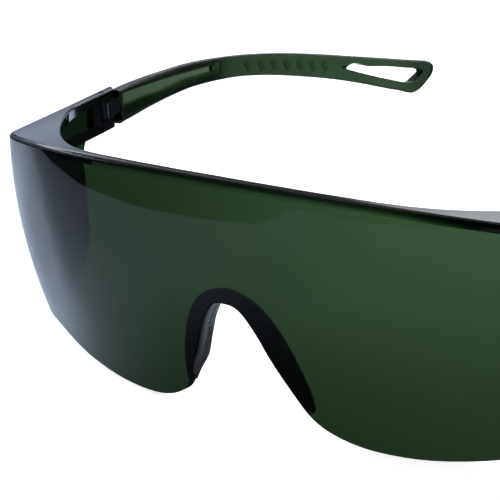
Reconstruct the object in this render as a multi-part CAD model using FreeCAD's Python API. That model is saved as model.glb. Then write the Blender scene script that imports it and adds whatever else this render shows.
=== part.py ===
import FreeCAD, Part
import math
import os

# One-piece tinted visor spectacles for gas welding: visor, nose saddle, two
# temples and two hinge pins.
#
# Wearing frame used while building, in millimetres: X across the face
# (wearer's left is +X), Y from the lens back towards the temple tips, Z up,
# zero at the middle of the top front edge of the lens.  At the end everything
# is tipped about X to stand on the two lens lobes and the two temple tips,
# with the origin in the middle of the footprint on the ground plane.

Vector = FreeCAD.Vector

# ------------------------------------------------------------ visor dimensions
# plan curve of the outer lens face, as curvature against arc length
MID_CURVATURE = 6.234e-3
HEADING_CUBIC = 3.594e-7        # growth of heading with the cube of arc length
CORNER_START = 67.9             # arc length
CORNER_LENGTH = 6.68
CORNER_TURN = 0.8062            # radians
PLAN_LENGTH = 130.0
PLAN_STEPS = 2600
PLAN_STEP = PLAN_LENGTH / PLAN_STEPS

# brow droop: parabolic, then levelling out; the two limits are fractions of half width
BROW_HALF_WIDTH = 71.92
BROW_DROOP = 5.70
LEVEL_START, LEVEL_SPAN = 0.85, 0.27

# vertical barrel curve, 1/mm, fading from front to side between arc lengths
BARREL_FRONT, BARREL_SIDE = 3.2e-3, 1.17e-3
BARREL_FADE_START, BARREL_FADE_SPAN = 80.0, 20.6
# direction of the barrel shift, turning over a longer arc than the wall itself
SHIFT_TURN_START, SHIFT_TURN_SPAN = 50.0, 46.0
# extra outward bow of the corners, greatest at half of BOW_DEPTH
CORNER_BOW, BOW_DEPTH = 0.70, 46.4
BOW_START, BOW_SPAN = 56.6, 15.5

LENS_THICKNESS = 2.0
MID_WALL = LENS_THICKNESS / 2
SHELF_THICKNESS = 2.2
BROW_RADII = (0.9, 0.7, 0.5)    # front brow edge, in order of preference
SHELF_RADII = (0.6, 0.4, 0.3)   # rear edge of the brow shelf, likewise
ON_BROW = 0.05                  # tolerance for edges lying in the brow surface

# grid of the wall surface: arc lengths of one half, and depths below the brow
WALL_ARCS = [0, 8, 16, 24, 32, 40, 47, 53, 58, 62, 65, 67, 68.5, 69.5, 70.5, 71.25, 72, 73,
             74.5, 76.5, 79, 83, 88, 94, 100, 106, 112, 118, 124.0]
WALL_DEPTHS = [-4.0, -2.0, 0.0, 3.0, 7.0, 12.0, 18.0, 24.0, 30.0, 36.0, 42.0, 48.0, 54.0, 60.0]
SHELF_LAST_ARC = 112.0

# rear edge of the brow shelf on the +X side: x, y
SHELF_EDGE = [
    (0, 2.2), (8, 2.35), (14, 2.8), (20, 3.45), (25, 4.25), (30, 5.2), (34.5, 6.35),
    (38.5, 7.8), (43, 10.1), (48.2, 13.8), (53.1, 18.2), (57.8, 23.2), (62.5, 28.9),
    (66.0, 33.8), (68.5, 38.4), (69.85, 42.0), (70.75, 46.0), (71.5, 50.0)]

# lower edge of the visor, alike on both halves: arc length, z
LOWER_EDGE = [
    (0.0, -24.95), (1.8, -25.1), (3.6, -26.15), (5.2, -28.2), (6.8, -31.0), (8.2, -34.1),
    (9.7, -37.1), (11.3, -40.0), (13.0, -43.1), (14.6, -45.9), (16.5, -48.1), (19.2, -49.9),
    (22.3, -51.15), (25.4, -52.0), (29.0, -52.45), (33.0, -52.65), (37.0, -52.65),
    (41.0, -52.4), (45.0, -51.95), (49.0, -51.35), (53.0, -50.65), (57.0, -49.7),
    (61.0, -48.4), (65.0, -47.0), (69.0, -46.0), (73.0, -45.3), (77.0, -44.6),
    (81.0, -43.65), (85.0, -42.6), (88.0, -41.8)]
LOWER_LAST_ARC = 87.0

# hinge, in side-arm coordinates: "along" runs back along the +X arm from
# ARM_Y, "inward" runs from the outer face of the arm towards the head
ARM_X, ARM_Y = 74.39, 50.0
ARM_HEADING = math.radians(79.09)
PIN_ALONG, PIN_INWARD = 3.0, 1.75
PIN_RADIUS = 0.6
PIN_CHAMFER = 0.15
PIN_RECESS = 0.15               # pin bottom above the bottom of the lower ear
PIN_TOP = -5.55
PIN_CLEARANCE = 0.05            # radial, pin in knuckle
KNUCKLE_RADIUS = 1.40
KNUCKLE_PLAY = 0.06             # vertical, on each side
ARM_END = 9.2                   # rear end of the arm
ARM_STOCK_END = ARM_END + 1.0   # the arm is built this long, then trimmed
EAR_INNER = 2.9                 # inner face of the upper ears
RIB_INNER = 3.3                 # inner face of the lower rib and ears
GAP_TOP, GAP_BOTTOM = -7.75, -11.45     # slot between the two ears
EAR_BOTTOM = -13.95
SLOT_FRONT = 1.0                # front wall of the slot beside the knuckle
STOP_FRONT = -2.6               # front of the solid piece joining the two ears
STOP_INNER = 2.6
STOP_OVERLAP = 0.5

# lower edge of the side shield where it rises to the arm: y, z
SIDE_LINE = [
    (32.0, -42.5), (33.8, -42.0), (38.4, -40.2), (41.4, -37.8), (43.2, -34.7), (43.9, -30.6),
    (44.1, -26.0), (44.1, -21.0), (44.2, -17.5), (45.0, -15.2), (47.0, EAR_BOTTOM)]
SIDE_TRIM_START = 33.6          # y where the side trim begins

# ----------------------------------------------------------- temple dimensions
TEMPLE_FRONT = 9.6              # front face, in side-arm coordinates
TEMPLE_THICKNESS = [(55, 2.9), (75, 2.8), (95, 2.6), (122, 2.3), (129, 2.2), (180, 2.2)]  # y, t
KNEE = Vector(64.6, 130.0, 0)   # straight in plan behind this point
TIP = Vector(54.0, 169.7, 0)
STRAIGHT_LENGTH = 44.0          # runs past the tip, trimmed by the outline
FRONT_HANDLE, KNEE_HANDLE = 24.0, 26.0  # Bezier handle lengths of the plan curve
TEMPLE_RADII = (0.7, 0.5, 0.35)
SIDE_X, SIDE_DEPTH = 30.0, 60.0         # side view tools start here and run this far

# side outline, along the top, round the tip and back along the bottom: y, z
TEMPLE_OUTLINE = [
    (54, -6.35), (60, -6.35), (65, -6.34), (72, -6.31), (79, -6.27), (86, -6.17),
    (92.2, -6.34), (98.3, -6.75), (104.4, -7.37), (110.4, -8.21), (116.5, -9.26),
    (122.7, -10.54), (129.1, -12.0), (135.7, -13.6), (142.5, -15.26), (149.4, -16.94),
    (156.4, -18.67), (162.2, -20.05),
    (165.0, -20.95), (166.3, -22.4), (166.1, -23.85), (164.0, -26.02), (161.33, -27.72),
    (158.4, -28.28), (155.4, -27.25),
    (152.6, -26.3), (146.4, -24.1), (139.6, -21.7), (132.9, -19.55), (126.3, -17.65),
    (119.9, -16.0), (113.7, -14.5), (107.6, -13.3), (101.5, -12.43), (95.35, -12.05),
    (90.5, -11.97), (85.75, -12.1), (82.4, -12.4), (78.9, -12.75), (75.3, -13.15),
    (71.6, -13.55), (67.6, -13.95), (63.4, -14.25), (58.2, -14.4), (54, -14.45)]

# pocket in the inner face, flat floor and shallower facet: y, z
POCKET_DEPTH, FACET_DEPTH = 1.1, 0.42
POCKET_FLOOR = [
    (61.2, -7.3), (67.4, -7.6), (73.2, -7.75), (83.6, -7.82), (94.2, -7.8), (94.2, -9.41),
    (88.4, -9.5), (83.5, -9.75), (79.2, -10.36), (76.5, -10.56), (72.8, -10.68),
    (67.0, -10.63), (61.2, -10.35)]
POCKET_FACET = [
    (61.2, -7.4), (67.4, -7.7), (73.2, -7.85), (83.6, -7.92), (94.2, -7.9), (94.2, -9.95),
    (88.3, -10.6), (83.3, -11.3), (80.7, -11.9), (76.3, -12.49), (71.6, -13.0),
    (66.7, -13.2), (61.2, -13.15)]

# round boss at the rear end of the pocket, in a round relief
BOSS_Z = -8.75
BOSS_Y, BOSS_RADIUS, BOSS_LENGTH, BOSS_ROOT = 94.6, 1.1, 1.4, 1.3
RELIEF_Y, RELIEF_RADIUS, RELIEF_LENGTH, RELIEF_DEPTH = 94.95, 1.6, 3.0, 0.45

# cord slot in the tip: y, z
CORD_SLOT = [
    (135.9, -17.3), (135.3, -16.85), (136.47, -16.2), (141.58, -17.37), (146.77, -18.56),
    (153.79, -20.26), (158.43, -21.37), (160.96, -22.11), (162.1, -23.0), (160.18, -24.33),
    (157.99, -25.3), (156.5, -25.1), (152.67, -23.79), (147.44, -21.9), (142.31, -19.91),
    (138.93, -18.56)]

# row of slanting ridges on the inner face
RIDGE_COUNT, RIDGE_START, RIDGE_PITCH = 7, 104.0, 4.0
RIDGE_RUN, RIDGE_DROP = 1.0, 2.4        # extent of the centre line in y and z
RIDGE_WIDTH, RIDGE_HEIGHT, RIDGE_ROOT = 1.1, 0.25, 0.3
RIDGE_CENTRE = [(98, -9.3), (104, -10.1), (111, -11.2), (117, -12.4), (124, -13.9),
                (131, -15.5)]           # y, z

TONGUE_OUTER, TONGUE_INNER = 0.6, 2.7
TONGUE_OVERLAP = 1.2            # reach of the tongue into the temple

# ------------------------------------------------------ nose saddle dimensions
SADDLE_FLANGE = 1.2
SADDLE_BEAD = 2.4
SADDLE_GAP = 0.15               # between lens and saddle
NOSE_GAP = 0.4                  # saddle edge from the nose line
BEAD_EDGE = 2.3                 # outer edge of the bead from the nose line
SADDLE_ARCS = [-40, -30, -22, -15, -8, 0, 8, 15, 22, 30, 40]
SADDLE_DEPTHS = [10.0, 18.0, 26.0, 34.0, 42.0, 50.0, 58.0]
# nose line and outer edge of the flange, +X half: x, z
NOSE_LINE = [
    (0.0, -24.95), (1.6, -25.05), (3.6, -26.2), (5.2, -28.3), (6.8, -31.1), (8.2, -34.1),
    (9.7, -37.1), (11.3, -40.0), (13.0, -43.1), (14.4, -45.6)]
FLANGE_EDGE = [
    (0.0, -22.2), (2.6, -22.7), (4.8, -23.5), (6.54, -24.5), (8.2, -26.0), (9.42, -27.5),
    (10.45, -29.0), (11.3, -30.5), (12.06, -32.0), (12.74, -33.5), (13.32, -35.0),
    (13.89, -36.5), (14.42, -38.0), (14.86, -39.5), (15.25, -41.0), (15.58, -42.5),
    (15.88, -44.0), (16.0, -45.5), (15.65, -46.9)]

REST_TILT = 9.541               # degrees, brow plane against the ground


# --------------------------------------------------------------------- helpers
def smooth(u):
    """Smooth step from 0 to 1."""
    u = max(0.0, min(1.0, u))
    return u * u * (3.0 - 2.0 * u)


def table(points, q):
    """Straight-line interpolation, held constant beyond the ends."""
    if q <= points[0][0]:
        return points[0][1]
    for (q0, f0), (q1, f1) in zip(points, points[1:]):
        if q <= q1:
            return f0 + (f1 - f0) * (q - q0) / (q1 - q0)
    return points[-1][1]


def both_signs(half):
    return [-q for q in reversed(half[1:])] + half


def both_halves(half):
    """Mirror a list of points that starts on the centre line."""
    return [(-x, other) for x, other in reversed(half[1:])] + half


def spline(points, closed=False):
    curve = Part.BSplineCurve()
    if closed:
        curve.interpolate(points, True)
    else:
        curve.interpolate(points)
    return curve.toShape()


def lines(points):
    return [Part.makeLine(p, q) for p, q in zip(points, points[1:])]


def prism(edges, vector):
    return Part.Face(Part.Wire(edges)).extrude(vector)


def mirror(shape):
    return shape.mirror(Vector(0, 0, 0), Vector(1, 0, 0))


def arm_point(along, inward, z=0.0):
    """Side-arm coordinates of the +X arm to the wearing frame."""
    c, s = math.cos(ARM_HEADING), math.sin(ARM_HEADING)
    return Vector(ARM_X + along * c - inward * s, ARM_Y + along * s + inward * c, z)


def arm_prism(points, z0, z1):
    corners = [arm_point(along, inward, z0) for along, inward in points]
    outline = Part.makePolygon(corners + corners[:1])
    return Part.Face(outline).extrude(Vector(0, 0, z1 - z0))


def arm_box(along0, along1, inward0, inward1, z0, z1):
    return arm_prism([(along0, inward0), (along1, inward0), (along1, inward1),
                      (along0, inward1)], z0, z1)


def pin_cylinder(radius, z0, height):
    base = arm_point(PIN_ALONG, PIN_INWARD, z0)
    return Part.makeCylinder(radius, height, base, Vector(0, 0, 1))


def round_edges(shape, edges, radii, least_share):
    """Fillet with the first radius that works; plain shape if none does."""
    for radius in radii:
        # the kernel may refuse a radius: the next smaller one is then tried
        try:
            rounded = shape.makeFillet(radius, edges)
            if rounded.isValid() and rounded.Volume > least_share * shape.Volume:
                return rounded
        except Exception:
            pass
    return shape


# ------------------------------------------------------------------ visor skin
def plan_curvature(arc):
    u = min(max((arc - CORNER_START) / CORNER_LENGTH, 0.0), 1.0)
    fade = smooth(u)
    corner = 0.0
    if 0.0 < u < 1.0:
        corner = (1.0 - math.cos(2.0 * math.pi * u)) / CORNER_LENGTH
    face_arc = min(arc, CORNER_START + CORNER_LENGTH)
    face = MID_CURVATURE + 3.0 * HEADING_CUBIC * face_arc ** 2
    return (1.0 - fade) * face + CORNER_TURN * corner


def make_plan():
    """Integrate the plan curve into a list of x, y, heading."""
    arc, x, y, heading = 0.0, 0.0, 0.0, 0.0
    points = [(x, y, heading)]
    for _ in range(PLAN_STEPS):
        k = 0.5 * (plan_curvature(arc) + plan_curvature(arc + PLAN_STEP))
        next_heading = heading + k * PLAN_STEP
        x += math.cos(0.5 * (heading + next_heading)) * PLAN_STEP
        y += math.sin(0.5 * (heading + next_heading)) * PLAN_STEP
        heading = next_heading
        arc += PLAN_STEP
        points.append((x, y, heading))
    return points


PLAN = make_plan()


def plan(arc):
    """x, y and heading of the outer lens face at an arc length >= 0."""
    position = arc / PLAN_STEP
    i = int(position)
    share = position - i
    return tuple(p + (q - p) * share for p, q in zip(PLAN[i], PLAN[i + 1]))


def brow_z(x):
    q = abs(x) / BROW_HALF_WIDTH
    if q < LEVEL_START:
        return -BROW_DROOP * q * q
    u = min((q - LEVEL_START) / LEVEL_SPAN, 1.0)
    return -BROW_DROOP * (LEVEL_START ** 2
                          + 2.0 * LEVEL_START * LEVEL_SPAN * (u - 0.5 * u * u))


def skin(arc, depth, offset):
    """Point of the visor skin, depth below the brow and offset inwards."""
    side = abs(arc)
    x, y, heading = plan(side)
    below = max(depth, 0.0)
    fade = smooth((side - BARREL_FADE_START) / BARREL_FADE_SPAN)
    barrel = BARREL_FRONT + (BARREL_SIDE - BARREL_FRONT) * fade
    share = below / BOW_DEPTH
    bow = CORNER_BOW * smooth((side - BOW_START) / BOW_SPAN) * 4.0 * share * (1.0 - share)
    shift = barrel * below * below - bow
    # the shift turns slowly, so the corner keeps its radius from brow to lower edge
    turn = plan(min(side, SHIFT_TURN_START))[2]
    turn += (ARM_HEADING - turn) * smooth((side - SHIFT_TURN_START) / SHIFT_TURN_SPAN)
    px = x - math.sin(heading) * offset - math.sin(turn) * shift
    py = y + math.cos(heading) * offset + math.cos(turn) * shift
    return Vector(px if arc >= 0 else -px, py, brow_z(x) - depth)


def skin_at(arc, z, offset):
    """Point of the skin at a given height."""
    depth = -z
    for _ in range(6):
        depth += skin(arc, depth, offset).z - z
    return skin(arc, depth, offset)


def skin_surface(offset, arcs, depths):
    surface = Part.BSplineSurface()
    surface.interpolate([[skin(arc, depth, offset) for depth in depths] for arc in arcs])
    return surface


# ---------------------------------------------------------------- visor pieces
def make_wall():
    """Curved wall, closed round its border by ruled strips."""
    outer, inner = [skin_surface(offset, both_signs(WALL_ARCS), WALL_DEPTHS)
                    for offset in (0.0, LENS_THICKNESS)]
    u0, u1, v0, v1 = outer.bounds()
    a0, a1, b0, b1 = inner.bounds()
    faces = [outer.toShape(), inner.toShape()]
    for rim_out, rim_in in ((outer.uIso(u0), inner.uIso(a0)), (outer.uIso(u1), inner.uIso(a1)),
                            (outer.vIso(v0), inner.vIso(b0)), (outer.vIso(v1), inner.vIso(b1))):
        faces.append(Part.makeRuledSurface(rim_out.toShape(), rim_in.toShape()))
    shell = Part.makeShell(faces)
    shell.sewShape()
    solid = Part.Solid(Part.Shell(shell.Faces))
    if solid.Volume < 0:
        solid.reverse()
    return solid


def brow_prism(drop, z_far):
    """Solid between the brow surface moved down by drop and the level z_far."""
    brow = [Vector(i * 4.0, -20, brow_z(i * 4.0) - drop) for i in range(-22, 23)]
    first, last = brow[0], brow[-1]
    sides = lines([last, Vector(last.x, -20, z_far), Vector(first.x, -20, z_far), first])
    return prism([spline(brow)] + sides, Vector(0, 120, 0))


def make_shelf():
    """Brow shelf with the side arms, reaching above the brow until trimmed."""
    z = -20.0
    inner = [Vector(x, y, z) for x, y in both_halves(SHELF_EDGE)]
    outer_half = []
    for arc in WALL_ARCS:
        if arc <= SHELF_LAST_ARC:
            x, y, heading = plan(arc)
            outer_half.append((x - math.sin(heading) * MID_WALL,
                               y + math.cos(heading) * MID_WALL))
    outer = [Vector(x, y, z) for x, y in both_halves(outer_half)]
    end_in = arm_point(ARM_STOCK_END, EAR_INNER, z)
    end_out = arm_point(ARM_STOCK_END, MID_WALL, z)
    far_in = Vector(-end_in.x, end_in.y, z)
    far_out = Vector(-end_out.x, end_out.y, z)
    edges = ([spline([far_in] + inner + [end_in])] + lines([end_in, end_out, outer[-1]])
             + [spline(outer)] + lines([outer[0], far_out, far_in]))
    slab = prism(Part.__sortEdges__(edges), Vector(0, 0, 22.0))
    return slab.cut(brow_prism(SHELF_THICKNESS, -40.0))


def lower_edge_z(arc):
    """Smooth value of LOWER_EDGE: cubic Hermite, level at the centre line."""
    points = LOWER_EDGE
    i = 0
    while i < len(points) - 2 and arc > points[i + 1][0]:
        i += 1

    def slope(k):
        if k == 0:
            return 0.0
        p, q = points[k - 1], points[min(k + 1, len(points) - 1)]
        return (q[1] - p[1]) / (q[0] - p[0])

    (q0, z0), (q1, z1) = points[i], points[i + 1]
    span = q1 - q0
    t = (arc - q0) / span
    m0, m1 = slope(i) * span, slope(i + 1) * span
    return ((2 * t ** 3 - 3 * t * t + 1) * z0 + (t ** 3 - 2 * t * t + t) * m0
            + (-2 * t ** 3 + 3 * t * t) * z1 + (t ** 3 - t * t) * m1)


def make_lower_trim():
    """Everything below the lower edge of the lens."""
    half = [0.0]
    while half[-1] < LOWER_LAST_ARC:
        arc = half[-1]
        # finer at the nose and round the corner
        step = 1.0 if arc < 20 or 64 < arc < 78 else 2.4
        half.append(min(arc + step, LOWER_LAST_ARC))
    rims = [spline([skin_at(arc, lower_edge_z(abs(arc)), offset) for arc in both_signs(half)])
            for offset in (-3.0, 3.1)]
    return Part.makeRuledSurface(*rims).extrude(Vector(0, 0, -45))


def make_side_trim():
    """Space behind and below the side shield, +X side."""
    x = 50
    curve = [Vector(x, y, z) for y, z in SIDE_LINE]
    ring = [curve[-1], Vector(x, 90, EAR_BOTTOM), Vector(x, 90, -80),
            Vector(x, curve[0].y, -80), curve[0]]
    trim = prism([spline(curve)] + lines(ring), Vector(45, 0, 0))
    return trim.common(Part.makeBox(60, 80, 100, Vector(45, SIDE_TRIM_START, -90)))


def make_arm_end_trim():
    """Trims the rear end of the arm: square outside, rounded on the inside."""
    def corner(along, inward):
        return arm_point(along, inward, -60)

    round_out, round_in = corner(ARM_END, 0.3), corner(5.3, RIB_INNER)
    edges = lines([corner(ARM_END, -4), round_out])
    edges.append(Part.Arc(round_out, corner(7.85, 1.95), round_in).toShape())
    edges += lines([round_in, corner(5.3, 9), corner(25, 9), corner(25, -4),
                    corner(ARM_END, -4)])
    return prism(edges, Vector(0, 0, 80))


def on_brow(edge, intervals):
    first, last = edge.FirstParameter, edge.LastParameter
    points = [edge.valueAt(first + (last - first) * i / intervals)
              for i in range(intervals + 1)]
    return all(abs(p.z - brow_z(p.x)) <= ON_BROW for p in points)


def make_visor():
    lower_rib = arm_prism([(-24.0, MID_WALL), (-24.0, 2.1), (-19.0, 2.5), (-13.0, 2.9),
                           (-4.0, 3.2), (0.5, RIB_INNER), (ARM_STOCK_END, RIB_INNER),
                           (ARM_STOCK_END, MID_WALL)], EAR_BOTTOM, GAP_BOTTOM)
    stop_rear = SLOT_FRONT + 1.0
    stop = arm_prism([(STOP_FRONT, MID_WALL), (STOP_FRONT, STOP_INNER),
                      (stop_rear, STOP_INNER), (stop_rear, MID_WALL)],
                     GAP_BOTTOM - STOP_OVERLAP, GAP_TOP + STOP_OVERLAP)
    visor = make_wall().fuse(make_shelf())
    for part in (lower_rib, stop):
        visor = visor.fuse(part).fuse(mirror(part))
    visor = visor.cut(brow_prism(0.0, 20.0))

    side_trim = make_side_trim()
    visor = visor.cut(make_lower_trim()).cut(side_trim).cut(mirror(side_trim))
    # the strip of wall left hanging below the trim is scrap
    visor = max(visor.Solids, key=lambda solid: solid.Volume)

    ear_slot = arm_box(SLOT_FRONT, 25, -5, 9, GAP_BOTTOM, GAP_TOP)
    channel = arm_box(-14.0, STOP_FRONT, LENS_THICKNESS, 9, GAP_BOTTOM, GAP_TOP)
    pin_hole = pin_cylinder(PIN_RADIUS, -25, 40)
    for tool in (make_arm_end_trim(), ear_slot, channel, pin_hole):
        visor = visor.cut(tool).cut(mirror(tool))

    front_edges = [e for e in visor.Edges if e.BoundBox.YMin < 0.05
                   and e.BoundBox.XLength > 100 and on_brow(e, 8)]
    visor = round_edges(visor, front_edges, BROW_RADII, 0.9)
    shelf_edges = [e for e in visor.Edges if e.Length >= 100
                   and 1.2 < e.BoundBox.YMin < 3.5 and on_brow(e, 12)]
    return round_edges(visor, shelf_edges, SHELF_RADII, 0.9)


# ------------------------------------------------------------------- hinge pin
def make_pin():
    bottom = EAR_BOTTOM + PIN_RECESS
    pin = pin_cylinder(PIN_RADIUS, bottom, PIN_TOP - bottom)
    rims = [e for e in pin.Edges if e.Curve.TypeId == "Part::GeomCircle"]
    return pin.makeChamfer(PIN_CHAMFER, rims)


# --------------------------------------------------------------------- temples
TIP_DIRECTION = (TIP - KNEE).normalize()
TEMPLE_START = arm_point(TEMPLE_FRONT, 0.0)
ARM_DIRECTION = Vector(math.cos(ARM_HEADING), math.sin(ARM_HEADING), 0)
BEZIER = [TEMPLE_START, TEMPLE_START + ARM_DIRECTION * FRONT_HANDLE,
          KNEE - TIP_DIRECTION * KNEE_HANDLE, KNEE]


def inward_normal(direction):
    return Vector(-direction.y, direction.x, 0)


def temple_curve(u):
    """Point and inward normal of the outer face between the hinge and the knee."""
    w = 1.0 - u
    p0, p1, p2, p3 = BEZIER
    point = p0 * (w ** 3) + p1 * (3 * w * w * u) + p2 * (3 * w * u * u) + p3 * (u ** 3)
    direction = (p1 - p0) * (3 * w * w) + (p2 - p1) * (6 * w * u) + (p3 - p2) * (3 * u * u)
    direction.normalize()
    return point, inward_normal(direction)


def thickness(y):
    return table(TEMPLE_THICKNESS, y)


def temple_layer(near, far):
    """Tall solid between two inward offsets from the outer face, functions of y."""
    frames = [temple_curve(i / 24.0) for i in range(25)]
    end = KNEE + TIP_DIRECTION * STRAIGHT_LENGTH
    level = Vector(0, 0, -40.0)

    def side(offset):
        curve = [p + n * offset(p.y) + level for p, n in frames]
        return curve, end + inward_normal(TIP_DIRECTION) * offset(end.y) + level

    outer, outer_end = side(near)
    inner, inner_end = side(far)
    edges = [spline(outer)] + lines([outer[-1], outer_end, inner_end, inner[-1]])
    edges += [spline(inner[::-1]), Part.makeLine(inner[0], outer[0])]
    return prism(edges, Vector(0, 0, 50.0))


def inner_layer(below, above):
    """Layer that straddles the inner face of the temple."""
    return temple_layer(lambda y: thickness(y) - below, lambda y: thickness(y) + above)


def side_points(points):
    return [Vector(SIDE_X, y, z) for y, z in points]


def side_prism(edges):
    return prism(edges, Vector(SIDE_DEPTH, 0, 0))


def side_polygon(points):
    return side_prism(lines(side_points(points + points[:1])))


def inner_face_cylinder(radius, length, y, depth):
    """Cylinder square to the inner face, starting depth below it."""
    nearest = min((i / 400.0 for i in range(401)),
                  key=lambda u: abs(temple_curve(u)[0].y - y))
    point, normal = temple_curve(nearest)
    centre = point + normal * thickness(point.y)
    centre.z = BOSS_Z
    return Part.makeCylinder(radius, length, centre - normal * depth, normal)


def ridge_outline(y):
    z = table(RIDGE_CENTRE, y)
    y0, y1 = y - RIDGE_RUN / 2, y + RIDGE_RUN / 2
    z0, z1 = z + RIDGE_DROP / 2, z - RIDGE_DROP / 2
    half_width = RIDGE_WIDTH / 2 / math.hypot(RIDGE_RUN, RIDGE_DROP)
    dy, dz = RIDGE_DROP * half_width, RIDGE_RUN * half_width
    return [(y0 + dy, z0 + dz), (y1 + dy, z1 + dz), (y1 - dy, z1 - dz), (y0 - dy, z0 - dz)]


def make_temple():
    outline = side_points(TEMPLE_OUTLINE)
    profile = side_prism([spline(outline), Part.makeLine(outline[-1], outline[0])])
    temple = temple_layer(lambda y: 0.0, thickness).common(profile)

    # rounded while the body is still plain
    long_edges = [e for e in temple.Edges if e.Length > 9 and e.BoundBox.YMax > 75]
    temple = round_edges(temple, long_edges, TEMPLE_RADII, 0.85)

    for depth, points in ((POCKET_DEPTH, POCKET_FLOOR), (FACET_DEPTH, POCKET_FACET)):
        temple = temple.cut(inner_layer(depth, 3.0).common(side_polygon(points)))

    relief = inner_face_cylinder(RELIEF_RADIUS, RELIEF_LENGTH, RELIEF_Y, RELIEF_DEPTH)
    boss = inner_face_cylinder(BOSS_RADIUS, BOSS_LENGTH, BOSS_Y, BOSS_ROOT)
    temple = temple.cut(relief).fuse(boss)
    temple = temple.cut(side_prism([spline(side_points(CORD_SLOT), closed=True)]))

    ridge_layer = inner_layer(RIDGE_ROOT, RIDGE_HEIGHT)
    for i in range(RIDGE_COUNT):
        outline = ridge_outline(RIDGE_START + i * RIDGE_PITCH)
        temple = temple.fuse(ridge_layer.common(side_polygon(outline)))

    # square front face, then the hinge tongue and knuckle
    temple = temple.cut(arm_box(-30, TEMPLE_FRONT, -20, 30, -40, 10))
    z0, z1 = GAP_BOTTOM + KNUCKLE_PLAY, GAP_TOP - KNUCKLE_PLAY
    tongue = arm_box(PIN_ALONG, TEMPLE_FRONT + TONGUE_OVERLAP, TONGUE_OUTER, TONGUE_INNER,
                     z0, z1)
    knuckle = pin_cylinder(KNUCKLE_RADIUS, z0, z1 - z0)
    bore = pin_cylinder(PIN_RADIUS + PIN_CLEARANCE, -25, 40)
    return temple.fuse(tongue).fuse(knuckle).cut(bore)


# ----------------------------------------------------------------- nose saddle
def nose_arch(offset):
    """Both halves of the nose line, moved away from the nose by offset."""
    half = []
    for i, (x, z) in enumerate(NOSE_LINE):
        if i == 0:
            dx, dz = 1.0, 0.0
        else:
            before, after = NOSE_LINE[i - 1], NOSE_LINE[min(i + 1, len(NOSE_LINE) - 1)]
            dx, dz = after[0] - before[0], after[1] - before[1]
        length = math.hypot(dx, dz)
        half.append((x - dz / length * offset, z + dx / length * offset))
    return both_halves(half)


def arch_prism(outer, inner):
    outer, inner = [[Vector(x, -4.0, z) for x, z in points] for points in (outer, inner)]
    edges = [spline(outer), Part.makeLine(outer[-1], inner[-1]),
             spline(inner[::-1]), Part.makeLine(inner[0], outer[0])]
    return prism(edges, Vector(0, 34, 0))


def behind_lens(depth):
    surface = skin_surface(LENS_THICKNESS + SADDLE_GAP, SADDLE_ARCS, SADDLE_DEPTHS)
    return surface.toShape().extrude(Vector(0, depth, 0))


def make_saddle():
    """Thin wide flange behind the lens, with a thicker bead along the nose edge."""
    band = arch_prism(both_halves(FLANGE_EDGE), nose_arch(NOSE_GAP))
    bead = arch_prism(nose_arch(BEAD_EDGE), nose_arch(NOSE_GAP))
    flange = band.common(behind_lens(SADDLE_FLANGE))
    return flange.fuse(bead.common(band).common(behind_lens(SADDLE_BEAD)))


# ------------------------------------------------------------ stand and export
left_temple = make_temple()
left_pin = make_pin()
pieces = {
    "visor_lens": make_visor(),
    "nose_saddle": make_saddle(),
    "left_temple": left_temple,
    "right_temple": mirror(left_temple),
    "left_hinge_pin": left_pin,
    "right_hinge_pin": mirror(left_pin),
}

tilt = FreeCAD.Placement(Vector(0, 0, 0), FreeCAD.Rotation(Vector(1, 0, 0), -REST_TILT))
placed = {}
for name, piece in pieces.items():
    placed[name] = piece.copy()
    placed[name].transformShape(tilt.toMatrix(), True)

boxes = [piece.optimalBoundingBox(False, False) for piece in placed.values()]
shift = Vector(-0.5 * (min(b.XMin for b in boxes) + max(b.XMax for b in boxes)),
               -0.5 * (min(b.YMin for b in boxes) + max(b.YMax for b in boxes)),
               -min(b.ZMin for b in boxes))

os.makedirs("parts", exist_ok=True)
for name, piece in placed.items():
    piece.translate(shift)
    solids = piece.Solids
    result = solids[0] if len(solids) == 1 else Part.makeCompound(solids)
    result.exportStep("parts/" + name + ".step")
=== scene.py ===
# Visor spectacles: a one-piece dyed lens, two dyed temples on steel hinge pins and a soft
# rubber nose saddle, standing on pale paper.
# Wearing frame (mm): x across, -y to the front, +y back along the temples, z up, with the
# brow of the visor at the origin. Scene frame (m): the same axes, with the spectacles
# tipped about x so that the temples fall towards the back.
import bpy, bmesh, math
from mathutils import Vector, Matrix

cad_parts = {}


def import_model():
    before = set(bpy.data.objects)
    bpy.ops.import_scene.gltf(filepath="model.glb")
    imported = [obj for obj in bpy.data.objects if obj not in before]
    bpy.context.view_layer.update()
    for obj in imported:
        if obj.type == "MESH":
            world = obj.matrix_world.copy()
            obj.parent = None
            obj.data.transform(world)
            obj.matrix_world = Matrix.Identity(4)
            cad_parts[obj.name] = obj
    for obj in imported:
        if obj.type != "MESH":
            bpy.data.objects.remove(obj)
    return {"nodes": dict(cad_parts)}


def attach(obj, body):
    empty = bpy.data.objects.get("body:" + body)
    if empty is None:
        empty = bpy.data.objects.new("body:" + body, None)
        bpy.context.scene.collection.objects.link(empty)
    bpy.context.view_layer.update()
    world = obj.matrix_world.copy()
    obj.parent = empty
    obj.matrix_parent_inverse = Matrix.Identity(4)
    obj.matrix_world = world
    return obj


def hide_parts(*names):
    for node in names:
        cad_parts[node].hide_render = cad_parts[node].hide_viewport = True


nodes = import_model()["nodes"]
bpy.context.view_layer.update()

# ------------------------------------------------------------------ frames
MM = 1000.0                           # millimetres in a metre
TILT = math.radians(9.541)
COS_TILT, SIN_TILT = math.cos(TILT), math.sin(TILT)
SHIFT_Y = -0.07906028664699492        # wearing origin in the scene, m
SHIFT_Z = 0.054310468151212525


def tip(x, y, z):
    """turn a wearing-frame vector into the scene's axes"""
    return x, y * COS_TILT + z * SIN_TILT, -y * SIN_TILT + z * COS_TILT


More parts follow.
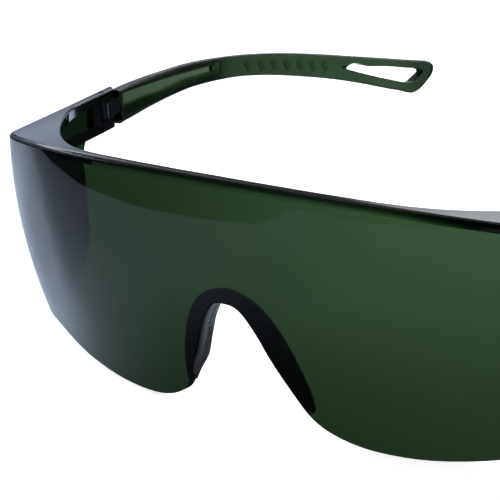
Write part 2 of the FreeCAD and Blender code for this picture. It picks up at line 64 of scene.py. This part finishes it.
def place(x, y, z):
    """wearing-frame point in mm -> scene point in m"""
    x, y, z = tip(x, y, z)
    return Vector((x / MM, y / MM + SHIFT_Y, z / MM + SHIFT_Z))


def smooth(u):
    u = max(0.0, min(1.0, u))
    return u * u * (3.0 - 2.0 * u)


# -------------------------------------------------------------- visor skin
# Lengths in mm. Arc length runs outwards from the centre along the brow, seen from above.
LENS_THICK = 2.0
MID_CURVE, CURVE_GROWTH = 6.234e-3, 3.594e-7      # 1/mm at the centre; cubic heading term
CORNER_START, CORNER_LEN, CORNER_TURN = 67.9, 6.68, 0.8062   # arc, arc, turn in radians
HALF_REF, DROOP = 71.92, 5.70         # brow droop follows (x / HALF_REF) squared
EASE_START, EASE_LEN = 0.85, 0.27     # where the droop levels off, in units of HALF_REF
BARREL, BARREL_SIDE = 3.2e-3, 1.17e-3             # rearward sweep per squared drop, 1/mm
BARREL_FADE = (80.0, 20.6)            # start and length in arc, from BARREL to BARREL_SIDE
BOW, BOW_FADE, BOW_HEIGHT = 0.70, (56.6, 15.5), 46.4  # outward bow near the corner
LEAN_START, LEAN_LEN, SIDE_LEAN = 50.0, 46.0, math.radians(79.09)  # sweep direction
PLAN_STEPS, PLAN_LEN = 2600, 130.0
PLAN_STEP = PLAN_LEN / PLAN_STEPS


def plan_curvature(arc):
    u = min(max((arc - CORNER_START) / CORNER_LEN, 0.0), 1.0)
    bump = (1.0 - math.cos(2.0 * math.pi * u)) / CORNER_LEN if 0.0 < u < 1.0 else 0.0
    front = MID_CURVE + 3.0 * CURVE_GROWTH * min(arc, CORNER_START + CORNER_LEN) ** 2
    return (1.0 - smooth(u)) * front + CORNER_TURN * bump


def trace_plan():
    """rows of x, y and heading at even steps of arc length"""
    arc = x = y = heading = 0.0
    rows = [(x, y, heading)]
    for _ in range(PLAN_STEPS):
        curve = 0.5 * (plan_curvature(arc) + plan_curvature(arc + PLAN_STEP))
        following = heading + curve * PLAN_STEP
        x += math.cos(0.5 * (heading + following)) * PLAN_STEP
        y += math.sin(0.5 * (heading + following)) * PLAN_STEP
        heading, arc = following, arc + PLAN_STEP
        rows.append((x, y, heading))
    return rows


PLAN = trace_plan()


def plan(arc):
    f = min(max(arc / PLAN_STEP, 0.0), len(PLAN) - 1.001)
    i = int(f)
    return tuple(a + (b - a) * (f - i) for a, b in zip(PLAN[i], PLAN[i + 1]))


FRONT_LEAN = plan(LEAN_START)[2]


def brow_z(x):
    q = abs(x) / HALF_REF
    if q < EASE_START:
        return -DROOP * (q * q)
    u = min((q - EASE_START) / EASE_LEN, 1.0)
    return -DROOP * (EASE_START ** 2 + 2 * EASE_START * EASE_LEN * (u - 0.5 * u * u))


def skin(s, drop, behind):
    """point at signed arc s, drop mm below the brow and behind mm behind the front face"""
    arc = abs(s)
    x, y, heading = plan(arc)
    low = max(drop, 0.0)
    barrel = BARREL + (BARREL_SIDE - BARREL) * smooth((arc - BARREL_FADE[0]) / BARREL_FADE[1])
    bow = BOW * smooth((arc - BOW_FADE[0]) / BOW_FADE[1])
    sweep = barrel * low * low - bow * 4.0 * (low / BOW_HEIGHT) * (1.0 - low / BOW_HEIGHT)
    lean = min(heading, FRONT_LEAN)
    lean += (SIDE_LEAN - lean) * smooth((arc - LEAN_START) / LEAN_LEN)
    px = x - math.sin(heading) * behind - math.sin(lean) * sweep
    py = y + math.cos(heading) * behind + math.cos(lean) * sweep
    return (px if s >= 0 else -px, py, brow_z(x) - drop)


def skin_at(s, z, behind):
    """point of the visor skin at a given height"""
    drop = -z
    point = skin(s, drop, behind)
    for _ in range(5):
        drop += point[2] - z
        point = skin(s, drop, behind)
    return point


# ------------------------------------------------------------ node helpers
class Tree:
    """short calls for building a node tree; values may be numbers or sockets"""

    def __init__(self, owner):
        owner.use_nodes = True
        self.tree = owner.node_tree
        self.tree.nodes.clear()

    def node(self, kind, inputs=None, **settings):
        made = self.tree.nodes.new(kind)
        for key, value in settings.items():
            setattr(made, key, value)
        for key, value in (inputs or {}).items():
            if isinstance(value, bpy.types.NodeSocket):
                self.tree.links.new(value, made.inputs[key])
            else:
                made.inputs[key].default_value = value
        return made

    def out(self, kind, inputs=None, **settings):
        """a node's first output"""
        return self.node(kind, inputs, **settings).outputs[0]

    def math(self, operation, *values):
        return self.out("ShaderNodeMath", dict(enumerate(values)), operation=operation)

    def add(self, a, b):
        return self.math("ADD", a, b)

    def sub(self, a, b):
        return self.math("SUBTRACT", a, b)

    def mul(self, product, *others):
        for value in others:
            product = self.math("MULTIPLY", product, value)
        return product

    def ramp(self, value, span, to=(0.0, 1.0), kind="SMOOTHSTEP"):
        return self.out("ShaderNodeMapRange", {
            "Value": value, "From Min": span[0], "From Max": span[1],
            "To Min": to[0], "To Max": to[1]}, interpolation_type=kind)

    def mix(self, factor, a, b):
        """colour mix"""
        return self.node("ShaderNodeMix", {0: factor, 6: a, 7: b}, data_type="RGBA").outputs[2]

    def mix_value(self, factor, a, b):
        return self.out("ShaderNodeMix", {0: factor, 2: a, 3: b}, data_type="FLOAT")

    def mix_shader(self, factor, a, b):
        return self.out("ShaderNodeMixShader", {0: factor, 1: a, 2: b})

    def noise(self, vector, scale, detail=2.0, rough=0.5, distortion=0.0):
        return self.node("ShaderNodeTexNoise", {
            "Vector": vector, "Scale": scale, "Detail": detail,
            "Roughness": rough, "Distortion": distortion}).outputs["Fac"]

    def bump(self, height, strength, distance):
        return self.out("ShaderNodeBump", {
            "Strength": strength, "Distance": distance, "Height": height})

    def mapping(self, vector, scale, rotation=(0, 0, 0)):
        return self.out("ShaderNodeMapping", {
            "Vector": vector, "Scale": scale, "Rotation": rotation})

    def split(self, vector):
        return self.node("ShaderNodeSeparateXYZ", {0: vector}).outputs

    def emission(self, colour, strength):
        return self.out("ShaderNodeEmission", {"Color": colour, "Strength": strength})

    def coords(self, kind="Object"):
        return self.node("ShaderNodeTexCoord").outputs[kind]

    def rays(self):
        return self.node("ShaderNodeLightPath").outputs


def material(name):
    made = bpy.data.materials.new(name)
    return made, Tree(made)


def rgb(r, g, b):
    return (r, g, b, 1.0)


WHITE = rgb(1, 1, 1)


# ------------------------------------------------------------ dyed plastic, with painted shade
LENS_SHADE_HEIGHTS = (-15.6, -14.4)             # heights, mm, over which the painted shade of the side arms and hinge sets in


def wearing(t, co):
    """depth (y) and height (z) in the wearing frame, in mm, from object coordinates"""
    _, y, z = t.split(co)
    y = t.sub(y, SHIFT_Y)
    z = t.sub(z, SHIFT_Z)
    depth = t.sub(t.mul(y, COS_TILT * MM), t.mul(z, SIN_TILT * MM))
    height = t.add(t.mul(y, SIN_TILT * MM), t.mul(z, COS_TILT * MM))
    return depth, height


def painted_lens_shade(t, co):
    """painted shade: darker along the side arms, around the hinge and at the brow rim"""
    depth, height = wearing(t, co)
    arm = t.mul(t.ramp(depth, span=(15.0, 24.0)), t.ramp(height, span=LENS_SHADE_HEIGHTS))
    knuckle = t.mul(t.ramp(depth, span=(46.4, 47.4)), t.ramp(height, span=LENS_SHADE_HEIGHTS))
    x = t.math("DIVIDE", t.split(co)[0], HALF_REF / MM)
    brow = t.mul(x, x, -DROOP)
    rim = t.ramp(t.sub(height, brow), span=(-1.5, -0.7))
    painted_shade = t.mix(rim, WHITE, rgb(0.22, 0.27, 0.24))
    painted_shade = t.mix(arm, painted_shade, rgb(0.34, 0.56, 0.34))
    return t.mix(knuckle, painted_shade, rgb(0.16, 0.20, 0.18))


def painted_temple_shade(t, co):
    """painted shade: darker rims and front, pocket floor left light with a darker lower facet,
    dark knuckle, and darker towards the tip
    """
    depth, height = wearing(t, co)
    # heights of the pocket's lower edge and of the crease across its floor
    edge = t.ramp(depth, span=(68.0, 92.5), to=(-13.15, -10.1), kind="LINEAR")
    crease = t.ramp(depth, span=(75.5, 87.0), to=(-10.62, -9.5))
    edge = t.sub(edge, t.ramp(depth, span=(93.2, 93.8), to=(0.0, 0.3)))
    along = t.mul(t.ramp(depth, span=(60.9, 61.4)),
                  t.ramp(depth, span=(95.5, 95.9), to=(1.0, 0.0)))
    above_edge = t.ramp(t.sub(height, edge), span=(-0.12, 0.12))
    below_top = t.ramp(height, span=(-7.80, -7.55), to=(1.0, 0.0))
    pocket = t.mul(along, t.mul(above_edge, below_top))
    below_crease = t.ramp(t.sub(height, crease), span=(-0.25, 0.12), to=(1.0, 0.0))
    rear = t.ramp(depth, span=(93.0, 100.0))
    painted_shade = t.mix(rear, rgb(0.44, 0.42, 0.46), WHITE)
    facet = t.mix(t.ramp(depth, span=(62.0, 90.0)),
                  rgb(0.22, 0.36, 0.10), rgb(0.56, 0.64, 0.52))
    floor = t.mix(below_crease, rgb(1.0, 0.98, 0.99), facet)
    painted_shade = t.mix(pocket, painted_shade, floor)
    knuckle = t.ramp(depth, span=(59.2, 59.9), to=(1.0, 0.0))
    painted_shade = t.mix(knuckle, painted_shade, rgb(0.13, 0.16, 0.15))
    tip_end = t.ramp(depth, span=(148.0, 166.0))
    return t.mix(tip_end, painted_shade, rgb(0.72, 0.70, 0.74))


def scratches(t, co):
    """broken, wandering hairlines"""
    wave = t.node("ShaderNodeTexWave", {
        "Vector": t.mapping(co, scale=(1.0, 1.0, 0.35), rotation=(0.3, 0.2, 0.9)),
        "Scale": 420.0, "Distortion": 34.0, "Detail": 3.0, "Detail Scale": 2.4,
    }, wave_type="BANDS", bands_direction="DIAGONAL").outputs["Fac"]
    line = t.ramp(wave, span=(0.985, 1.0))
    return t.mul(line, t.ramp(t.noise(co, scale=120.0), span=(0.58, 0.66)))


def make_dyed(name, painted_shade, absorb, roughness, grain, shadow, scratch=0.0, ripple=0.0, ior=1.585):
    """clear polycarbonate with the dye in its volume and painted shade in what passes through;
    absorb is per metre for r, g, b, and grain, ripple and scratch are surface relief in bump
    units"""
    made, t = material(name)
    co = t.coords()
    smudge = t.noise(co, scale=70.0, detail=4.0, rough=0.55, distortion=0.6)
    fine = t.noise(co, scale=4200.0, rough=0.6)
    rough = t.ramp(smudge, span=(0.42, 0.72), to=roughness)
    relief = t.mul(fine, grain)
    if ripple:
        relief = t.add(relief, t.mul(t.noise(co, scale=160.0, detail=1.0, rough=0.4), ripple))
    if scratch:
        relief = t.sub(relief, t.mul(scratches(t, co), scratch))
    normal = t.bump(relief, strength=1.0, distance=0.001)
    # the painted shade only dims what passes through; the surface mirror stays clean
    through = t.out("ShaderNodeBsdfRefraction", {
        "Color": painted_shade(t, co), "Roughness": rough, "IOR": ior, "Normal": normal},
        distribution="GGX")
    mirror = t.out("ShaderNodeBsdfAnisotropic", {
        "Color": WHITE, "Roughness": rough, "Normal": normal}, distribution="GGX")
    fresnel = t.out("ShaderNodeFresnel", {"IOR": ior, "Normal": normal})
    body = t.mix_shader(fresnel, through, mirror)
    clear = t.out("ShaderNodeBsdfTransparent", {"Color": rgb(*shadow)})
    density = max(absorb)
    t.node("ShaderNodeOutputMaterial", {
        "Surface": t.mix_shader(t.rays()["Is Shadow Ray"], body, clear),
        "Volume": t.out("ShaderNodeVolumeAbsorption", {
            "Color": rgb(*[1.0 - a / density for a in absorb]), "Density": density})})
    return made


# --------------------------------------------------------- rubber and steel
def make_rubber():
    made, t = material("saddle_rubber")
    co = t.coords()
    cloud = t.noise(co, scale=260.0, detail=3.0)
    grain = t.noise(co, scale=5200.0, detail=3.0, rough=0.65)
    dust = t.ramp(t.noise(co, scale=1900.0, rough=0.7), span=(0.66, 0.78))
    colour = t.mix(t.ramp(cloud, span=(0.35, 0.65)),
                   rgb(0.006, 0.007, 0.010), rgb(0.013, 0.015, 0.021))
    dust_cover = 0.18
    colour = t.mix(t.mul(dust, dust_cover), colour, rgb(0.10, 0.10, 0.11))
    cloud_relief = 2.0                # relative to the grain
    relief = t.add(grain, t.mul(cloud, cloud_relief))
    surface = t.out("ShaderNodeBsdfPrincipled", {
        "Base Color": colour,
        "Roughness": t.ramp(cloud, span=(0.3, 0.7), to=(0.40, 0.58)),
        "IOR": 1.5, "Sheen Weight": 0.05, "Sheen Roughness": 0.5,
        "Normal": t.bump(relief, strength=0.35, distance=0.00006)})
    t.node("ShaderNodeOutputMaterial", {"Surface": surface})
    return made


def make_steel():
    made, t = material("brushed_pin_steel")
    brushed = t.mapping(t.coords(), scale=(1.0, 1.0, 14.0))
    lines = t.noise(brushed, scale=900.0, detail=4.0, rough=0.7)
    surface = t.out("ShaderNodeBsdfPrincipled", {
        "Base Color": t.mix(lines, rgb(0.34, 0.35, 0.36), rgb(0.55, 0.56, 0.58)),
        "Metallic": 1.0,
        "Roughness": t.ramp(lines, span=(0.3, 0.7), to=(0.22, 0.38)),
        "Normal": t.bump(lines, strength=0.3, distance=0.00002)})
    t.node("ShaderNodeOutputMaterial", {"Surface": surface})
    return made


# both plastics carry painted shade in the colour of what passes through them
lens_plastic = make_dyed(
    "tinted_polycarbonate_painted_shade", painted_lens_shade, absorb=(1541.0, 1175.0, 1573.0), roughness=(0.0, 0.03),
    grain=0.00002, shadow=(0.55, 0.62, 0.55), scratch=0.0002, ripple=0.0005)
temple_plastic = make_dyed(
    "dyed_temple_plastic_painted_shade", painted_temple_shade, absorb=(1115.0, 835.0, 1110.0), roughness=(0.22, 0.32),
    grain=0.004, shadow=(0.5, 0.65, 0.5))
rubber = make_rubber()
steel = make_steel()

for node_name, finish in (
        ("visor_lens", lens_plastic),
        ("left_temple", temple_plastic), ("right_temple", temple_plastic),
        ("left_hinge_pin", steel), ("right_hinge_pin", steel)):
    for slot in nodes[node_name].material_slots:
        slot.material = finish


# ------------------------------------------------------------- nose saddle
# (x, z) in mm of the +x half, crown first: the nose cut-out of the lens
ARCH = [(0.0, -24.95), (1.8, -25.1), (3.6, -26.15), (5.2, -28.2), (6.8, -31.0),
        (8.2, -34.1), (9.7, -37.1), (11.3, -40.0), (13.0, -43.1), (14.6, -45.9)]
# and the band's outer edge
BAND_EDGE = [(0.0, -22.2), (2.6, -22.7), (4.8, -23.5), (6.54, -24.5), (8.2, -26.0),
             (9.42, -27.5), (10.45, -29.0), (11.3, -30.5), (12.06, -32.0), (12.74, -33.5),
             (13.32, -35.0), (13.89, -36.5), (14.42, -38.0), (14.86, -39.5), (15.25, -41.0),
             (15.58, -42.5), (15.88, -44.0), (16.0, -45.5), (15.65, -46.9)]
# rounded outer rim of the flange: mm in from the outer edge, share of the flange depth
FLANGE_RIM = [(0.45, 0.0), (0.2, 0.04), (0.04, 0.17), (0.0, 0.36),
              (0.0, 0.6), (0.05, 0.8), (0.22, 0.95), (0.45, 1.0)]
SADDLE_STEPS = 220
CURVE_STEPS = 24                      # samples between two outline points
PROUD = 0.20                          # inner edge past the cut edge of the lens, mm
SEAT_GAP = 0.17                       # between the lens and the flange, mm
FOOT_ROUND = 1.6                      # length over which a foot closes, mm
RIB_PLACES, RIB_HEIGHT, RIB_HALF = (0.20, 0.50, 0.80), 0.13, 0.12  # places as side shares
KNURL_HEIGHT, KNURL_PITCH = 0.12, 0.85
WAVE_HEIGHT, WAVE_PITCH = 0.05, 1.3


def mirrored(half):
    return [(-x, z) for x, z in reversed(half[1:])] + half


def catmull(points, count):
    """even samples along a Catmull-Rom curve, and its length"""
    padded = [points[0]] + points + [points[-1]]
    fine = []
    for i in range(1, len(padded) - 2):
        for k in range(CURVE_STEPS):
            u = k / CURVE_STEPS
            fine.append(tuple(
                0.5 * (2 * b + (c - a) * u + (2 * a - 5 * b + 4 * c - d) * u * u
                       + (3 * b - a - 3 * c + d) * u ** 3)
                for a, b, c, d in zip(*padded[i - 1:i + 3])))
    fine.append(points[-1])
    lengths = [0.0]
    for a, b in zip(fine, fine[1:]):
        lengths.append(lengths[-1] + math.hypot(b[0] - a[0], b[1] - a[1]))
    even, j = [], 0
    for k in range(count + 1):
        target = lengths[-1] * k / count
        while j < len(fine) - 2 and lengths[j + 1] < target:
            j += 1
        u = (target - lengths[j]) / max(lengths[j + 1] - lengths[j], 1e-9)
        even.append(tuple(a + (b - a) * u for a, b in zip(fine[j], fine[j + 1])))
    return even, lengths[-1]


def saddle_section(height, inner, outer, foot):
    """closed cross-section from inner to outer edge; foot is the distance to the nearer
    foot and height the z of the lens edge here"""
    (ix, iz), (ox, oz) = inner, outer
    width = math.hypot(ox - ix, oz - iz)
    crown = smooth((height + 33.5) / 2.5)              # 1 at the crown, 0 on the legs
    swell = smooth((-34.0 - height) / 8.0) * smooth((foot - 2.0) / 5.0)
    bead_width = min(2.3, 0.72 * width)
    bead_depth = 0.34 + 2.06 * smooth(foot / 7.6) + 0.45 * swell
    bead_round = 0.20 + 0.42 * smooth(foot / 6.0)
    flange = 0.42 + 0.76 * smooth(foot / 4.0)          # flange depth

    def at(out, depth):
        """out mm from the inner edge, depth mm behind the seat on the visor"""
        u = out / width
        return skin_at(ix + (ox - ix) * u, iz + (oz - iz) * u, LENS_THICK + SEAT_GAP + depth)

    # front of the flange and its rounded rim
    points = [at(max(out, 0.24), 0.0) for out in (0.26, 0.8, 0.35 * width, 0.65 * width)]
    points += [at(max(width - inset, 0.24), share * flange) for inset, share in FLANGE_RIM]
    # rear of the flange, with a shallow groove beside the bead
    for i in range(1, 8):
        f = i / 8.0
        out = (width - 0.45) * (1 - f) + (bead_width + 0.08) * f
        points.append(at(out, flange - 0.08 * smooth((f - 0.55) / 0.35)))
    # the bead rises behind the flange and turns over to the nose side
    for i in range(13):
        turn = math.pi * i / 12.0
        points.append(at(bead_width * 0.5 + bead_width * 0.5 * math.cos(turn) - 0.02,
                         bead_depth - bead_round + bead_round * math.sin(turn)))
    # nose side: three raised lengthwise ribs on the legs, knurl and wave at the crown
    wave = WAVE_HEIGHT * math.sin(foot * 2.0 * math.pi / WAVE_PITCH)
    wave *= smooth((foot - 2.0) / 2.0) * crown
    knurl_wave = max(0.0, math.sin(foot * 2.0 * math.pi / KNURL_PITCH))
    side_steps = 26
    for i in range(1, side_steps):
        f = i / side_steps
        rib = sum(RIB_HEIGHT * max(0.0, 1.0 - ((f - c) / RIB_HALF) ** 2) for c in RIB_PLACES)
        knurl = KNURL_HEIGHT * knurl_wave * smooth(min(f, 1 - f) / 0.12)
        points.append(at(-rib * (1.0 - crown) * smooth((foot - 3.0) / 3.0)
                         - knurl * crown + wave,
                         (bead_depth - bead_round) * (1 - f) + 0.16 * f))
    # thin lip reaching forwards over the cut edge of the lens, shorter at the feet
    lip = -(LENS_THICK + SEAT_GAP) + 0.12 + (LENS_THICK - 0.1) * (1.0 - smooth(foot / 4.0))
    points += [at(out, depth) for out, depth in (
        (0.0, 0.12), (-0.01, lip * 0.5), (0.0, lip + 0.06), (0.06, lip),
        (0.115, lip + 0.06), (0.12, lip * 0.5), (0.12, -0.02))]
    return [Vector(p) for p in points]


def mesh_object(name, bm, surface):
    mesh = bpy.data.meshes.new(name)
    bm.to_mesh(mesh)
    bm.free()
    mesh.materials.append(surface)
    made = bpy.data.objects.new(name, mesh)
    bpy.context.collection.objects.link(made)
    return made


def build_saddle():
    """soft band behind the nose cut-out: wide thin flange, thick bead at the nose"""
    nose, total = catmull(mirrored(ARCH), SADDLE_STEPS)
    edge, _ = catmull(mirrored(BAND_EDGE), SADDLE_STEPS)
    bm = bmesh.new()
    rings = []
    for k, (x, z) in enumerate(nose):
        before, after = nose[max(k - 1, 0)], nose[min(k + 1, SADDLE_STEPS)]
        dx, dz = after[0] - before[0], after[1] - before[1]
        length = math.hypot(dx, dz)
        inner = (x + dz / length * PROUD, z - dx / length * PROUD)
        foot = min(k, SADDLE_STEPS - k) / SADDLE_STEPS * total
        points = saddle_section(z, inner, edge[k], foot)
        fullness = math.sqrt(max(0.0, 1.0 - (1.0 - min(foot / FOOT_ROUND, 1.0)) ** 2))
        centre = sum(points, Vector((0, 0, 0))) / len(points)
        rings.append([bm.verts.new(place(*(centre + (p - centre) * (0.25 + 0.75 * fullness))))
                      for p in points])
    count = len(rings[0])
    for a, b in zip(rings, rings[1:]):
        for i in range(count):
            j = (i + 1) % count
            bm.faces.new((a[i], a[j], b[j], b[i]))
    for ring in (rings[0], rings[-1]):
        centre = bm.verts.new(sum((v.co for v in ring), Vector((0, 0, 0))) / count)
        for i in range(count):
            bm.faces.new((ring[i], ring[(i + 1) % count], centre))
    bmesh.ops.recalc_face_normals(bm, faces=bm.faces)
    saddle = mesh_object("saddle_moulding", bm, rubber)
    for face in saddle.data.polygons:
        face.use_smooth = True
    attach(saddle, "front")
    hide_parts("nose_saddle")


build_saddle()


# ------------------------------------------------------------------- floor
FLOOR_HALF, FLOOR_CELLS, FLOOR_Z = 6.0, 24, -0.00005   # m, cells a side, m


def painted_paper_reflection(t, x, y):
    """painted reflection: an emitting sheet that glossy surfaces reflect, which ends, with a
    painted glow towards -x
    """
    # outline: a slanting edge on the -x side, and a front edge
    slant = t.add(t.mul(x, -0.68), t.mul(y, -0.73))
    side = t.ramp(slant, span=(0.2185, 0.2225), to=(1.0, 0.0))
    side = t.math("MAXIMUM", side, t.ramp(x, span=(-0.080, -0.072)))
    sheet = t.mul(side, t.ramp(y, span=(-0.315, -0.300)))
    # painted light: front band, glow fading forwards, hot patch, patch under the nose
    front = t.ramp(y, span=(-0.150, -0.090), to=(0.135, 0.0))
    ahead = t.math("MAXIMUM", t.sub(-0.075, y), 0.0)
    fade = t.math("EXPONENT", t.mul(ahead, -26.0))
    toward_side = t.ramp(x, span=(-0.015, -0.085))
    glow = t.mul(t.add(0.08, t.mul(fade, 0.42)), toward_side)
    hot = t.mul(t.ramp(y, span=(-0.085, -0.052), to=(0.0, 0.85)),
                t.ramp(x, span=(-0.035, -0.075)),
                t.ramp(x, span=(-0.45, -0.12), to=(0.18, 1.0)))
    under = t.mul(t.ramp(y, span=(-0.070, -0.060)),
                  t.ramp(y, span=(-0.032, -0.020), to=(1.0, 0.0)),
                  t.ramp(t.math("ABSOLUTE", x), span=(0.020, 0.034), to=(1.5, 0.0)))
    level = t.add(t.add(front, glow), t.add(hot, under))
    # painted shade: darker behind the visor, and in a band far out on the -x side
    visor_shade = t.mul(t.ramp(x, span=(-0.078, -0.062)), t.ramp(y, span=(-0.030, -0.010)))
    level = t.mul(level, t.sub(1.0, t.mul(visor_shade, 0.95)))
    dip = t.mul(t.ramp(x, span=(-0.15, -0.28), to=(0.0, 0.50)),
                t.ramp(x, span=(-0.95, -0.60)))
    level = t.mul(level, t.sub(1.0, dip))
    base_level = 0.025
    return t.emission(rgb(0.80, 0.95, 1.20), t.add(t.mul(level, sheet), base_level))


def paper_through_dye(t, x, y):
    """what shows through the plastic: paper shaded close behind the visor"""
    shade = t.ramp(y, span=(-0.085, 0.010), to=(0.33, 1.0), kind="LINEAR")
    front = t.ramp(y, span=(-0.085, -0.140))
    shade = t.mul(shade, t.ramp(x, span=(-0.090, -0.015), to=(0.54, 1.0), kind="LINEAR"))
    return t.emission(WHITE, t.mix_value(front, shade, 1.0))


def make_paper():
    made, t = material("studio_paper")
    x, y, _ = t.split(t.node("ShaderNodeNewGeometry").outputs["Position"])
    rays = t.rays()
    grain = t.noise(t.coords(), scale=900.0, detail=4.0, rough=0.6)
    # seen directly: pale paper, mostly evened out, with a soft contact shade
    diffuse = t.out("ShaderNodeBsdfDiffuse", {
        "Color": t.mix(grain, rgb(0.86, 0.86, 0.86), rgb(0.90, 0.90, 0.90))})
    lift = t.emission(WHITE, strength=0.80)
    seen = t.out("ShaderNodeAddShader", {0: diffuse, 1: lift})
    surface = t.mix_shader(rays["Is Glossy Ray"], seen, painted_paper_reflection(t, x, y))
    surface = t.mix_shader(rays["Is Transmission Ray"], surface, paper_through_dye(t, x, y))
    t.node("ShaderNodeOutputMaterial", {"Surface": surface})
    return made


def build_floor():
    bm = bmesh.new()
    line = [-FLOOR_HALF + 2 * FLOOR_HALF * i / FLOOR_CELLS for i in range(FLOOR_CELLS + 1)]
    grid = [[bm.verts.new((x, y, FLOOR_Z)) for x in line] for y in line]
    for a, b in zip(grid, grid[1:]):
        for i in range(FLOOR_CELLS):
            bm.faces.new((a[i], a[i + 1], b[i + 1], b[i]))
    mesh_object("floor", bm, make_paper())


build_floor()


# ------------------------------------------------------------------- light
def build_world():
    world = bpy.data.worlds.new("studio")
    bpy.context.scene.world = world
    t = Tree(world)
    x, y, z = t.split(t.coords("Generated"))
    back = t.add(t.mul(x, -0.574), t.mul(y, 0.819))    # 1 towards the back on the -x side
    # bright card at the back, dim above
    card = t.mul(t.ramp(z, span=(0.225, 0.285), to=(0.0, 2.4)),
                 t.ramp(back, span=(0.05, 0.55)),
                 t.ramp(z, span=(0.33, 0.44), to=(1.0, 0.12)))
    # pale wall low down at the back, fading upwards
    wall = t.mul(t.ramp(z, span=(0.0, 0.13), to=(0.62, 0.10)),
                 t.ramp(back, span=(0.05, 0.55)))
    # patch further round to the -x side
    turn = t.math("DIVIDE", t.mul(x, -1.0), t.math("MAXIMUM", y, 0.05))
    side = t.mul(t.ramp(turn, span=(0.82, 1.0), to=(0.0, 0.8)),
                 t.mul(t.ramp(z, span=(0.10, 0.19)), t.ramp(back, span=(0.6, 0.85))))
    top = t.mul(t.ramp(z, span=(0.85, 0.98), to=(0.0, 0.5)),
                t.ramp(back, span=(-0.1, 0.3)))
    fill = t.ramp(back, span=(-0.2, 0.6), to=(0.02, 0.05))
    # narrow lamp low in front, a short streak on the brow rounding
    turn = t.math("DIVIDE", t.mul(x, -1.0), t.math("MAXIMUM", t.mul(y, -1.0), 0.05))
    lamp = t.mul(t.ramp(turn, span=(0.16, 0.22)),
                 t.ramp(turn, span=(0.34, 0.42), to=(1.7, 0.0)))
    lamp = t.mul(lamp, t.mul(t.ramp(z, span=(0.0, 0.03)),
                             t.ramp(z, span=(0.12, 0.20), to=(1.0, 0.0))))
    brightest = t.math("MAXIMUM", t.math("MAXIMUM", card, side), t.math("MAXIMUM", top, wall))
    light = t.add(brightest, t.add(fill, lamp))
    # the camera itself sees plain white
    camera_ray = t.rays()["Is Camera Ray"]
    tint = t.mix(t.ramp(z, span=(0.14, 0.30)), rgb(0.80, 0.92, 1.17), rgb(0.93, 0.97, 1.0))
    background = t.out("ShaderNodeBackground", {
        "Color": t.mix(camera_ray, tint, WHITE),
        "Strength": t.mix_value(camera_ray, light, 1.0)})
    t.node("ShaderNodeOutputWorld", {"Surface": background})


def add_softbox(name, location, target, size, power, colour=(1, 1, 1)):
    """square area light (m, W) that only adds diffuse light"""
    lamp = bpy.data.lights.new(name, "AREA")
    lamp.shape = "RECTANGLE"
    lamp.size = lamp.size_y = size
    lamp.energy = power
    lamp.color = colour
    made = bpy.data.objects.new(name, lamp)
    made.location = location
    made.rotation_mode = "QUATERNION"
    made.rotation_quaternion = (Vector(location) - Vector(target)).to_track_quat("Z", "Y")
    bpy.context.collection.objects.link(made)
    made.visible_glossy = False
    made.visible_camera = False
    made.visible_transmission = False


build_world()
add_softbox("soft_top", location=(-0.15, 0.25, 0.95), target=(0, 0, 0.02), size=1.0, power=6.0)
add_softbox("soft_right", location=(0.85, -0.35, 0.45), target=(0, 0, 0.03), size=0.6, power=3.0)
add_softbox("soft_left", location=(-0.9, 0.1, 0.5), target=(0, 0, 0.03), size=0.6, power=2.0,
            colour=(0.92, 0.96, 1.0))

# ------------------------------------------------------------------ camera
# place in mm and axes, all in the wearing frame
EYE = (184.4258072, -227.97866719, 91.18183273)
EYE_RIGHT = (0.801551345, 0.595779783, -0.050615124)
EYE_DOWN = (0.163705241, -0.300084458, -0.939760561)
EYE_FORWARD = (-0.575079155, 0.744980381, -0.338065375)


def add_camera():
    lens = bpy.data.cameras.new("camera")
    lens.sensor_width = 36.0
    lens.lens = 123.0948
    lens.clip_start = 0.01
    lens.clip_end = 20.0
    camera = bpy.data.objects.new("camera", lens)
    bpy.context.collection.objects.link(camera)
    right, down, forward = (Vector(tip(*axis)) for axis in (EYE_RIGHT, EYE_DOWN, EYE_FORWARD))
    pose = Matrix((right, -down, -forward)).transposed().to_4x4()
    pose.translation = place(*EYE)
    camera.matrix_world = pose
    bpy.context.scene.camera = camera


add_camera()

scene = bpy.context.scene
scene.display_settings.display_device = "sRGB"
view = scene.view_settings
view.view_transform = "Standard"
view.look = "None"
view.exposure = 0.0
view.gamma = 1.0
